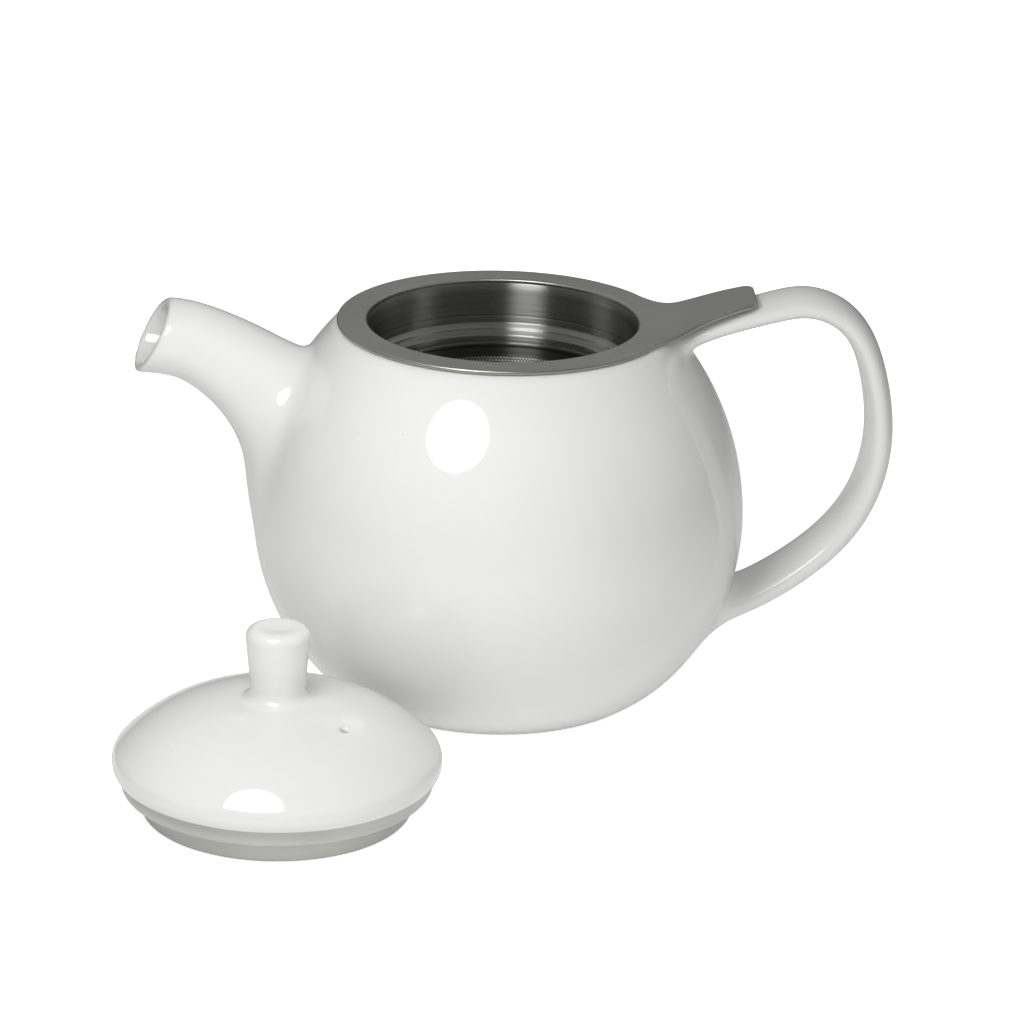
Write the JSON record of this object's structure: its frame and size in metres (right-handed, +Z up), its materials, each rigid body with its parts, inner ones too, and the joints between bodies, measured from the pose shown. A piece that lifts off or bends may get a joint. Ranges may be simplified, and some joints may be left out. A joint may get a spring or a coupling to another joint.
{
  "type": "teapot with lift-out infuser and lid",
  "caption": "Round white glazed teapot with a curved spout and strap handle, a steel basket infuser whose tab lies over the handle, and a domed lid with a knob resting on the table.",
  "frame": {"origin": "centre of the pot's foot on the table plane", "axes": "+X from the pot's axis to the handle, spout along -X, +Z up, lid on the table at -X -Y"},
  "size_m": [0.1957, 0.1844, 0.1061],
  "materials": {
    "white_glaze": "gloss",
    "brushed_stainless": "brushed",
    "bright_stainless": "polished"
  },
  "bodies": {
    "pot": {"pot_body": "white_glaze", "spout": "white_glaze", "handle": "white_glaze"},
    "infuser": {"infuser_flange": "brushed_stainless", "infuser_collar": "bright_stainless", "infuser_screen": "bright_stainless", "infuser_base": "bright_stainless"},
    "lid": {"lid_cap": "white_glaze", "lid_knob": "white_glaze"}
  },
  "joints": [
    {"name": "infuser_lift", "type": "slide", "parent": "pot", "child": "infuser", "axis": [0, 0, 1], "range_m": [0, 0.11]},
    {"name": "lid_lift", "type": "slide", "parent": "pot", "child": "lid", "axis": [-0.1925, -0.2827, 0.9397], "range_m": [0, 0.12]}
  ]
}
